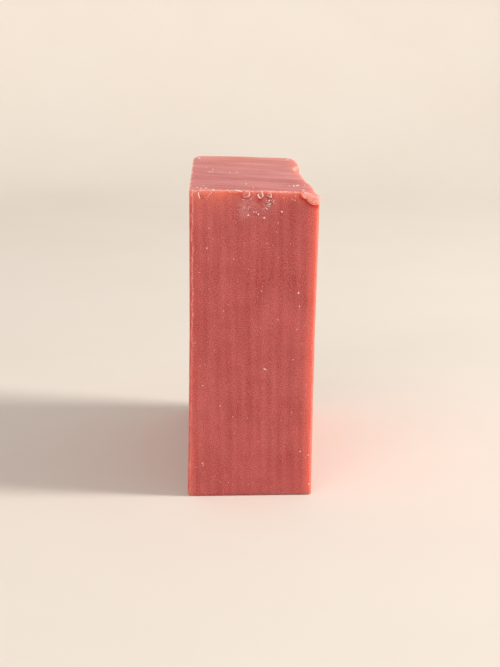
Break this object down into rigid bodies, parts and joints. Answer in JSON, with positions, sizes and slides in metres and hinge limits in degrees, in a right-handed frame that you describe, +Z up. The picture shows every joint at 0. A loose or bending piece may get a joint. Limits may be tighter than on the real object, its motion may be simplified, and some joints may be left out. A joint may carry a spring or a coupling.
{
  "type": "bar of soap",
  "caption": "Thick slice of hand-made translucent rose soap, standing on its narrow end, with worn and pressed edges.",
  "frame": {"origin": "centre of the flat base that the bar stands on", "axes": "+X across the thickness, between the two broad faces; +Y from the front edge face to the back one; +Z up, from the base to the top"},
  "size_m": [0.0275, 0.0609, 0.0654],
  "materials": {
    "soap": "translucent rose glycerine soap, wire-cut, with a waxy, faintly powdery skin"
  },
  "bodies": {
    "root": {"soap_bar": "soap"}
  },
  "joints": []
}
